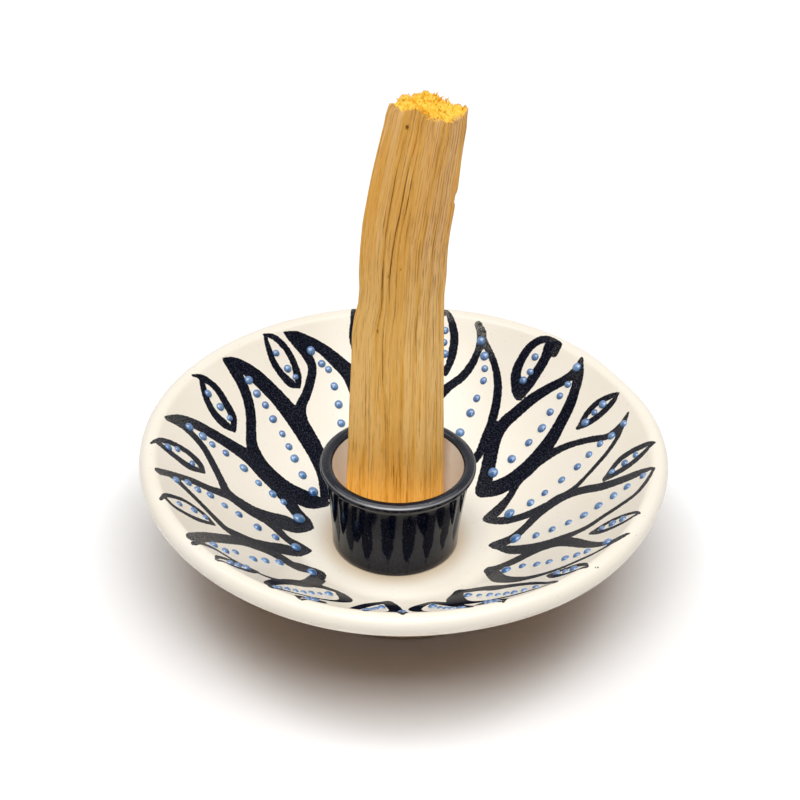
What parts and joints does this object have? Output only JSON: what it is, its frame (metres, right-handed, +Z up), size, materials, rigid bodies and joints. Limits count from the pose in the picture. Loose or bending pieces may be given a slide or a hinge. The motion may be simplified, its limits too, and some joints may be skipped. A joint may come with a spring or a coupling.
{
  "type": "palo santo holder",
  "caption": "Round glazed dish with a small cup fixed in its middle that holds an upright stick of split aromatic wood; painted petals with raised dots ring the inside.",
  "frame": {"origin": "on the table under the middle of the dish", "axes": "+Z up along the dish axis; -Y is the side the picture is taken from, +X to its right"},
  "size_m": [0.105, 0.105, 0.11],
  "materials": {
    "cream_glaze": "glossy cream glaze over pale clay",
    "black_glaze": "glossy blue-black glaze",
    "split_wood": "raw split wood with long grain",
    "blue_slip": "glossy blue slip dots under clear glaze"
  },
  "bodies": {
    "holder": {"dish": "cream_glaze", "cup": "cream_glaze", "cup_glaze": "black_glaze", "petal_dots": "blue_slip", "leaf_dots": "blue_slip"},
    "stick": {"palo_santo_stick": "split_wood"}
  },
  "joints": [
    {"name": "stick_lift", "type": "slide", "parent": "holder", "child": "stick", "axis": [0, 0, 1], "range_m": [0, 0.04]}
  ]
}
